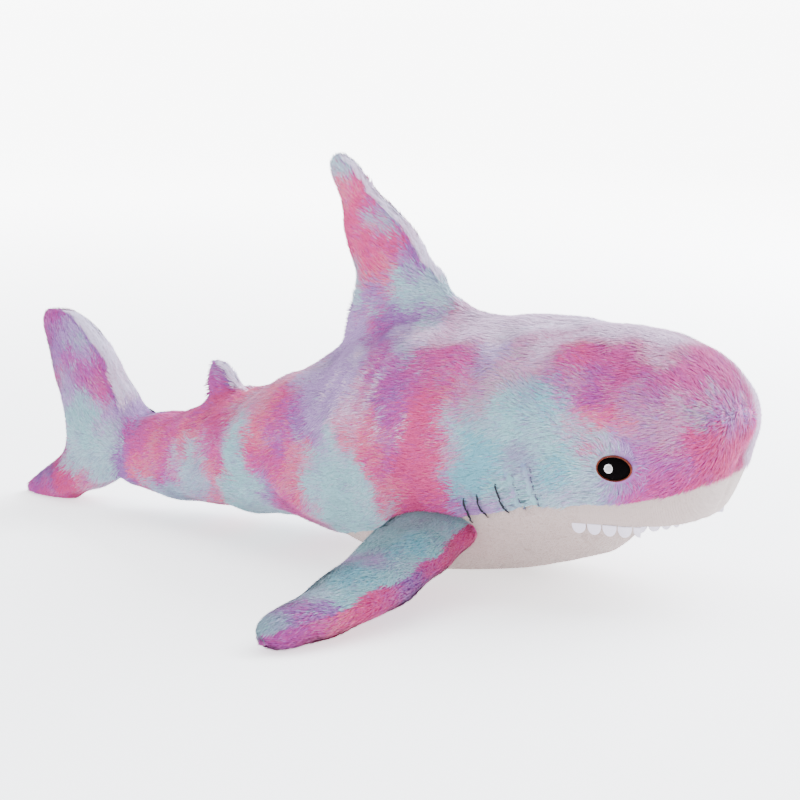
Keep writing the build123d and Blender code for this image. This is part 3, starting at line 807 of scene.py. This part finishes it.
def grow(name, place, normal, way, length, width, lean, colours):
    """Tapered tufts as one mesh: two bent segments each, a darker root as painted shade and a lighter tip as
    painted highlight.
    """
    n = len(place)
    length = length * rng.uniform(0.7, 1.15, n)
    width = width * rng.uniform(0.75, 1.2, n)
    lift = np.radians(lean) * rng.uniform(0.75, 1.3, n)
    side = unit(np.cross(normal, way)) * (width / 2)[:, None]
    step = (length / 2)[:, None]
    low = place - normal * 0.0005
    mid = low + step * (way * np.cos(lift)[:, None] + normal * np.sin(lift)[:, None])
    tip = mid + step * (way * np.cos(lift * 0.35)[:, None] + normal * np.sin(lift * 0.35)[:, None])
    co = np.stack([low - side, low + side, mid - 0.8 * side, mid + 0.8 * side, tip], axis=1).reshape(-1, 3)
    co[:, 2] = np.maximum(co[:, 2], 0.0002)
    base = 5 * np.arange(n)[:, None]
    quad = np.hstack([base + 1, base, base + 2, base + 3])
    tri = np.hstack([base + 3, base + 2, base + 4])
    mesh = bpy.data.meshes.new(name)
    mesh.vertices.add(len(co))
    mesh.vertices.foreach_set("co", co.ravel())
    mesh.loops.add(7 * n)
    mesh.loops.foreach_set("vertex_index", np.hstack([quad, tri]).ravel())
    mesh.polygons.add(2 * n)
    starts = (7 * np.arange(n)[:, None] + np.array([0, 4])).ravel()
    mesh.polygons.foreach_set("loop_start", starts)
    centres, index = colours
    mesh.polygons.foreach_set("material_index", np.stack([2 * index, 2 * index + 1], axis=1).ravel())
    mesh.update(calc_edges=True)
    mesh.shade_smooth()
    tilt = (0.7 * lift)[:, None]
    facing = normal * np.cos(tilt) - way * np.sin(tilt)
    soft = unit(np.repeat(facing, 5, axis=0) + 0.12 * np.repeat(unit(side), 5, axis=0) * np.tile(
        np.array([-1, 1, -1, 1, 0.0]), n)[:, None])
    mesh.normals_split_custom_set_from_vertices(soft)
    for material in centres:
        mesh.materials.append(material)
    obj = bpy.data.objects.new(name, mesh)
    bpy.context.scene.collection.objects.link(obj)
    return obj


def fur_palette(name, centres):
    made = []
    for k, colour in enumerate(centres):
        # Each colour gets a darker copy for the roots, painted shade among the tufts, and a lighter copy for
        # the tips, painted highlight.
        tip = np.minimum(colour * 1.08 + 0.005, 0.95)
        made.append(plain_material(f"{name}_{k:02d}_root", tuple(colour * 0.85), 0.9))
        made.append(plain_material(f"{name}_{k:02d}_tip", tuple(tip), 0.8, 0.08))
    return made


MAX_TUFTS = 64000
queue = []


def plan(name, skin, faces, density, way, length, width, lean, colour_of, hold, slot, avoid=None):
    place, normal = scatter(skin, faces, density)
    lay = comb(place, normal, way(place, normal))
    if avoid is not None:
        keep = avoid(place)
        place, normal, lay = place[keep], normal[keep], lay[keep]
    tint = colour_of(place + rng.normal(0, 0.0024, place.shape), normal)
    shade = np.exp(rng.normal(0, 0.06, len(place)))[:, None]
    tint = np.clip(tint * shade + rng.normal(0, 0.012, (len(place), 3)), 0.02, 0.95)
    queue.append((name, place, normal, lay, length, width, lean, tint, hold, slot))


def back_and_down(place, normal):
    return np.tile((-1.0, 0.0, -0.22), (len(place), 1))


EYES = [(sum(map(Vector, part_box("eye_" + side)), Vector()) / 2, side) for side in ("right", "left")]


def head_way(place, normal):
    """Back along the body, but round and away from the eyes."""
    way = back_and_down(place, normal)
    for middle, _ in EYES:
        off = place - np.array(middle)
        gap = np.linalg.norm(off, axis=1)
        away = off / np.maximum(gap, 1e-6)[:, None]
        pull = np.exp(-(gap / 0.020) ** 2)[:, None]
        way = way * (1 - pull) + 1.4 * away * pull
    near_fin = ease(-0.01, 0.03, above_back(place))[:, None]
    rear = ease(0.012, 0.0, np.abs(place[:, 1]))[:, None]
    return mix(way, mix(np.array((-0.75, 0, 0.5)), (-0.22, 0, 1), rear), near_fin)


def clear_of_eyes(place):
    keep = from_dart(place)[0] > 0.0010
    for middle, _ in EYES:
        off = place - np.array(middle)
        near = np.abs(off[:, 1]) < 0.03
        keep &= ~near | ((off[:, 0] / 0.0116) ** 2 + (off[:, 2] / 0.0086) ** 2 > 1)
    return keep & ((gill_pull(place) < 0.0003) | (rng.random(len(place)) < 0.2))


def cream(place, normal):
    # Painted shade: the cream gets darker towards the bottom.
    shade = ease(MOUTH_Z + 0.006, MOUTH_Z - 0.014, place[:, 2])[:, None]
    return mix(CREAM, CREAM_IN_SHADE, shade)


# Tufts per square mm of plush, and the width of a tuft.
QUICK = 1.0
DENSE, TUFT_WIDE = 1.65 * QUICK, 0.00085
for side, label, hold in (("right", SIDE_R, bend_dorsal), ("left", SIDE_L, bend_dorsal)):
    plan("fur_side_" + side, body, labels == label, DENSE, head_way, 0.0070, TUFT_WIDE, 20, dye, hold,
         "tie_dye_plush", clear_of_eyes)
for side, label in (("right", TAIL_R), ("left", TAIL_L)):
    plan("fur_tail_" + side, body, labels == label, DENSE,
         lambda p, n: (-0.5, 0, 0) + np.array((0, 0, 1)) * np.clip((p[:, 2:3] - 0.05) * 25, -0.6, 1),
         0.0062, TUFT_WIDE, 20, dye, bend_tail, "tie_dye_plush")
plan("fur_belly", body, labels == BELLY, 1.3 * QUICK, back_and_down, 0.0024, 0.0010, 26, cream, ride_body,
     "cream_short_plush", lambda p: p[:, 2] > 0.0015)
plan("fur_upper_lip", body, labels == LIP, 1.5 * QUICK, back_and_down, 0.0020, 0.0009, 24, cream, ride_body,
     "cream_short_plush")

# ------------------------------------------------------------------ pectoral fins
for side, sign in (("right", -1), ("left", 1)):
    names = [f"pectoral_fin_{p}_{side}" for p in ("upper_panel", "lower_panel", "stuffing")]
    fin = fin_skin(names, lambda p: np.abs(p[:, 1]) < 0.097, (0, -sign * 0.020, 0.004), 0.0026)
    first, last = (0.0935, 0.0365), (0.2455, 0.009)
    slope = (last[1] - first[1]) / (last[0] - first[0])
    out = np.abs(fin.co[:, 1])
    level = first[1] + slope * (out - first[0])
    n = fin.normals()
    off = fin.co[:, 2] - level
    edge = 0.0012 * np.exp(-(off / 0.0028) ** 2) * ease(0.100, 0.112, out)
    lumps = 0.0008 * wobble(fin.co, 0.05, 6)
    fin.co = fin.co + ((lumps - 0.0018 - edge) * ease(0.0005, 0.006, fin.co[:, 2]))[:, None] * n
    start = (0.113, sign * 0.080, 0.0365)
    end = (0.113, sign * 0.118, 0.0365)
    middle = fin.co[fin.quads].mean(1)
    above = middle[:, 2] > first[1] + slope * (np.abs(middle[:, 1]) - first[0])

    def bend(obj, side=side, start=start, end=end):
        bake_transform(obj)

    def fin_dye_and_highlight(p, nn, offset=5 * (sign > 0)):
        spots = p + ragged(p, offset)
        spots[:, 1] = -np.abs(spots[:, 1])
        front = nn[:, 2] - 0.95 * nn[:, 0] + 0.12 * wobble(p, 0.02, 41)
        under = ease(0.16, 0.0, front)[:, None]
        both = soft_mix(spots, FIN_TOP, 0.8) * (1 - under) + soft_mix(spots, FIN_UNDER, 0.8) * under
        # Then painted highlight from the back light, as on the body.
        return mottle_and_paint_highlight(p, both, nn)

    colours = fin_dye_and_highlight(fin.co, n)
    for part, faces in (("upper", above), ("lower", ~above)):
        piece = cut_out(f"plush_pectoral_{part}_{side}", fin, faces, DYE_AND_HIGHLIGHT_CLOTH, colours)
        bend(piece)
        hidden = [f"pectoral_fin_{part}_panel_{side}"]
        if part == "upper":
            hidden.append(f"pectoral_fin_stuffing_{side}")
        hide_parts(*hidden)
        plan(f"fur_pectoral_{part}_{side}", fin, faces, DENSE,
             lambda p, nn, s=sign: np.tile((-0.30, s * 0.95, -0.18), (len(p), 1)),
             0.0060, TUFT_WIDE, 20, fin_dye_and_highlight, bend, "tie_dye_plush",
             lambda p: (np.abs(p[:, 1]) > 0.074) & (p[:, 2] > 0.0008))

dyed = [entry for entry in queue if entry[9] == "tie_dye_plush"]
pale = [entry for entry in queue if entry[9] != "tie_dye_plush"]
for kind, entries, size in (("plush", dyed, PALETTE_SIZE), ("cream", pale, 5)):
    tints = np.vstack([e[7] for e in entries])
    centres, index = quantise(tints, size)
    materials = fur_palette("pile_" + kind, centres)
    at = 0
    for name, place, normal, lay, length, width, lean, tint, hold, slot in entries:
        mine = index[at:at + len(place)]
        at += len(place)
        order = np.argsort(place[:, 0], kind="stable")
        chunks = max(1, math.ceil(len(place) / MAX_TUFTS))
        for number, part in enumerate(np.array_split(order, chunks)):
            label = name if chunks == 1 else f"{name}_{number + 1}"
            obj = grow(label, place[part], normal[part], lay[part], length, width, lean,
                       (materials, mine[part]))
            hold(obj)

# ----------------------------------------------------------------- trimmings
def thread_material(name, colour, roughness, ridges, way=0.0, shine=0.12):
    """Satin stitches: fine parallel threads that catch the light, painted darker and lighter along them as
    shade and highlight.
    """
    material = plain_material(name, colour, roughness)
    tree = material.node_tree
    shader = tree.nodes["Principled BSDF"]
    put(shader, {"Specular IOR Level": shine})
    make, link = tree.nodes.new, tree.links.new
    place, turn, threads = make("ShaderNodeTexCoord"), make("ShaderNodeMapping"), make("ShaderNodeTexWave")
    put(turn, {"Rotation": (0, way, 0)})
    put(threads, {"Scale": ridges, "Distortion": 1.5})
    link(place.outputs["Object"], turn.inputs["Vector"])
    link(turn.outputs["Vector"], threads.inputs["Vector"])
    # Painted shade and highlight: darker and lighter copies of the colour along the threads.
    lit_and_shaded_threads = make("ShaderNodeMix")
    lit_and_shaded_threads.data_type = "RGBA"
    lit_and_shaded_threads.inputs["A"].default_value = (*(0.55 * c for c in colour), 1)
    lit_and_shaded_threads.inputs["B"].default_value = (*(min(1.0, 1.25 * c) for c in colour), 1)
    link(threads.outputs["Fac"], lit_and_shaded_threads.inputs["Factor"])
    link(lit_and_shaded_threads.outputs["Result"], shader.inputs["Base Color"])
    add_bump(material, threads.outputs["Fac"], 0.4, 0.0003)
    return material


BLACK = thread_material("black_satin", (0.0016, 0.0013, 0.0014), 0.8, 900, 0.9, 0.01)
BROWN = thread_material("brown_satin", (0.16, 0.035, 0.018), 0.45, 1100)
GLINT = thread_material("white_satin", (0.86, 0.86, 0.88), 0.5, 1000)
GLINT_GREY = thread_material("grey_satin", (0.42, 0.42, 0.44), 0.5, 1000)
THREAD = thread_material("black_thread", (0.020, 0.022, 0.030), 0.6, 1500, 0.6)
SUNK_THREAD = thread_material("sunk_thread", (0.10, 0.10, 0.16), 0.6, 1500, 0.6)
CREAM_THREAD = thread_material("cream_thread", (0.78, 0.72, 0.66), 0.7, 1200)
FELT = cloth_material("tooth_felt", (0.62, 0.57, 0.68), 1500, 0.4, 0.08, weave=False)
nodes["closing_stitches"].data.materials.clear()
nodes["closing_stitches"].data.materials.append(CREAM_THREAD)

surface = BVHTree.FromPolygons([Vector(p) for p in body.co], body.quads.tolist())
EYE_TURN = math.radians(16)


def disc(name, middle, out, across, size, inner, rise, around=72, rings=12):
    """A domed oval or ring that follows the cloth. rise(r) is its height over the skin at r."""
    up = Vector((0, 0, 1))
    verts, faces = [], []
    for ring in range(rings + 1):
        part = inner + (1 - inner) * ring / rings
        for step in range(around):
            turn = 2 * math.pi * step / around
            spot = middle + across * (size[0] * part * math.cos(turn))
            spot += up * (size[1] * part * math.sin(turn))
            found = surface.ray_cast(spot + out * 0.05, -out)[0]
            verts.append((found or spot) + out * rise((part - inner) / (1 - inner), turn))
    for ring in range(rings):
        for step in range(around):
            a, b = ring * around + step, ring * around + (step + 1) % around
            faces.append((a, a + around, b + around, b))
    if inner < 0.05:
        faces.append(tuple(range(around))[::-1])
    obj = new_object(name, verts, faces)
    if obj.data.polygons[0].normal.dot(out) < 0:
        obj.data.flip_normals()
    return obj


def dome(low, high):
    return lambda r, turn: low + (high - low) * math.sqrt(max(0.0, 1 - r * r))


def cord_ring(low, high, threads):
    return lambda r, turn: (
        low + (high - low) * math.sin(math.pi * r) ** 0.7 * (0.9 + 0.1 * math.cos(threads * turn))
    )


for middle, side in EYES:
    sign = -1 if side == "right" else 1
    out = Vector((math.sin(EYE_TURN), sign * math.cos(EYE_TURN), 0))
    across = Vector((math.cos(EYE_TURN), -sign * math.sin(EYE_TURN), 0))
    eye = disc("satin_eye_" + side, middle, out, across, (0.0106, 0.0074), 0.0, dome(0.0016, 0.0040))
    eye.data.materials.append(BLACK)
    rim = disc("satin_eye_rim_" + side, middle, out, across, (0.0118, 0.0086), 0.87,
               cord_ring(0.0008, 0.0034, 90), around=180, rings=8)
    rim.data.materials.append(BROWN)
    spot = middle - across * 0.0030 + Vector((0, 0, 0.0003))
    over = dome(0.0030, 0.0046)
    glint = disc("satin_glint_" + side, spot, out, across, (0.0033, 0.0033), 0.0, over, around=48, rings=8)
    glint.data.materials.append(GLINT)
    grey = disc("satin_glint_middle_" + side, spot, out, across, (0.0022, 0.0022), 0.0, dome(0.0045, 0.0050),
                around=40, rings=5)
    grey.data.materials.append(GLINT_GREY)
    for piece, slot, hidden in (
        (eye, "black_eye", ["eye_" + side]), (rim, "brown_rim_thread", ["eye_rim_" + side]),
        (glint, "white_glint", ["eye_glint_" + side]), (grey, "white_glint", []),
    ):
        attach(piece, "body")
        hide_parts(*hidden)

# Felt teeth: scallops that hang from under the lip, outside the jaw.
MOUTH_MIDDLE = Vector((0.216, 0, 0))
TEETH, TOOTH_LONG, FELT_THICK = 23, 0.0078, 0.0012


def reach(turn, height):
    """How far the cloth is from the middle of the mouth, at a turn and a height."""
    way = Vector((math.sin(turn), -math.cos(turn), 0))
    origin = MOUTH_MIDDLE + Vector((0, 0, height))
    found = surface.ray_cast(origin + way * 0.12, -way)[0]
    return (found - origin).length if found else 0.04


turns = np.radians(np.linspace(-6, 186, 240))
spots = np.array([
    (reach(t, LIP_Z + 0.0022) * math.sin(t), -reach(t, LIP_Z + 0.0022) * math.cos(t)) for t in turns
])
lip_run = np.concatenate([[0], np.cumsum(np.linalg.norm(np.diff(spots, axis=0), axis=1))])
verts, faces = [], []
STEPS, DROPS = 14, 7
for tooth in range(TEETH):
    for step in range(STEPS + 1):
        across = step / STEPS
        turn = float(np.interp((tooth + 0.04 + 0.92 * across) / TEETH * lip_run[-1], lip_run, turns))
        lip = reach(turn, LIP_Z + 0.0022) - 0.0012
        scallop = (1 - abs(2 * across - 1) ** 2.2) ** 0.62
        long = 0.0022 + (TOOTH_LONG - 0.0022) * scallop * (0.88 + 0.12 * math.sin(7.0 * tooth))
        for drop in range(DROPS + 1):
            fall = long * drop / DROPS
            height = LIP_Z + 0.0016 - fall
            away = max(lip - 0.25 * fall, reach(turn, min(height, LIP_Z - 0.002)) + 0.0012)
            away += 0.0005 * math.sin(math.pi * across) + 0.0006 * (fall / TOOTH_LONG) ** 2
            way = Vector((math.sin(turn), -math.cos(turn), 0))
            verts.append(MOUTH_MIDDLE + way * away + Vector((0, 0, height)))
    first = tooth * (STEPS + 1) * (DROPS + 1)
    for step in range(STEPS):
        for drop in range(DROPS):
            a = first + step * (DROPS + 1) + drop
            faces.append((a, a + 1, a + DROPS + 2, a + DROPS + 1))
teeth = new_object("felt_teeth", verts, faces)
teeth.data.materials.append(FELT)
thicken = teeth.modifiers.new("felt", "SOLIDIFY")
thicken.thickness = FELT_THICK
thicken.offset = 0
rounding = teeth.modifiers.new("edges", "SUBSURF")
rounding.levels = rounding.render_levels = 1
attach(teeth, "body")
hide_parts("upper_teeth_strip")


def tube(path, radius, sides=8, plies=0.0):
    """A thread along a path, as vertices and faces, round at its ends."""
    verts, faces = [], []
    count = len(path)
    for k, p in enumerate(path):
        ahead = (path[min(k + 1, count - 1)] - path[max(k - 1, 0)]).normalized()
        one = ahead.orthogonal().normalized()
        two = ahead.cross(one)
        begin, stop = min(1, (k + 0.4) / 3), min(1, (count - 0.6 - k) / 3)
        share = math.sin(math.pi / 2 * begin) * math.sin(math.pi / 2 * stop)
        for step in range(sides):
            turn = 2 * math.pi * step / sides
            swell = radius * max(share, 0.1) * (1 + 0.18 * math.cos(2 * turn + plies * k))
            verts.append(p + one * swell * math.cos(turn) + two * swell * math.sin(turn))
    for k in range(count - 1):
        for step in range(sides):
            a, b = k * sides + step, k * sides + (step + 1) % sides
            faces.append((a, b, b + sides, a + sides))
    faces.append(tuple(range(sides))[::-1])
    faces.append(tuple(range((count - 1) * sides, count * sides)))
    return verts, faces


for side, sign in (("right", -1), ("left", 1)):
    for sunk, material, label in ((False, THREAD, "rear"), (True, SUNK_THREAD, "front")):
        verts, faces = [], []
        for (low_x, low_z), (high_x, high_z), deep in GILLS:
            if (deep > 0.001) != sunk:
                continue
            run = math.dist((low_x, low_z), (high_x, high_z))
            stitches = [(0.0, 1.0)] if not sunk else [(k / 5 + 0.01, (k + 0.86) / 5) for k in range(5)]
            for begin, stop in stitches:
                path = []
                steps = max(7, int((stop - begin) * run))
                for k in range(steps + 1):
                    t = begin + (stop - begin) * k / steps
                    x, z = low_x + (high_x - low_x) * t, low_z + (high_z - low_z) * t
                    hit, way, _, _ = surface.ray_cast(Vector((x, sign * 150, z)) * MM, Vector((0, -sign, 0)))
                    arch = math.sin(math.pi * k / steps) ** 0.5
                    path.append(hit + way * ((0.0034 if not sunk else 0.0024) * arch + 0.0002))
                v, f = tube(path, 0.00062 if not sunk else 0.00055, plies=0.9)
                faces += [tuple(i + len(verts) for i in face) for face in f]
                verts += v
        piece = new_object(f"gill_threads_{label}_{side}", verts, faces)
        piece.data.materials.append(material)
        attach(piece, "body")
        if not sunk:
            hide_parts("gill_stitches_" + side)

# ----------------------------------------------------------------------- floor
# A wide round floor that glows all over, less near the toy and more far out, so it runs out to white behind
# the toy.
ROUND = 64
RINGS = ((60.0, 0.0), (63.0, 2.0))
turns = [2 * math.pi * k / ROUND for k in range(ROUND)]
verts = [(radius * math.cos(t), radius * math.sin(t), height) for radius, height in RINGS for t in turns]
faces = [tuple(range(ROUND))]
faces += [(k, k + ROUND, (k + 1) % ROUND + ROUND, (k + 1) % ROUND) for k in range(ROUND)]
floor = new_object("floor", verts, faces)
paper = plain_material("studio_floor", (0.92, 0.92, 0.93), 0.9)
make, link = paper.node_tree.nodes.new, paper.node_tree.links.new
spot, far, glow = make("ShaderNodeTexCoord"), make("ShaderNodeVectorMath"), make("ShaderNodeMapRange")
far.operation = "LENGTH"
glow.interpolation_type = "SMOOTHSTEP"
put(glow, {"From Min": 0.30, "From Max": 3.0, "To Min": 1.3, "To Max": 7.5})
link(spot.outputs["Object"], far.inputs[0])
link(far.outputs["Value"], glow.inputs["Value"])
shader = paper.node_tree.nodes["Principled BSDF"]
link(glow.outputs["Result"], shader.inputs["Emission Strength"])
put(shader, {"Emission Color": (1, 1, 1, 1)})
floor.data.materials.append(paper)
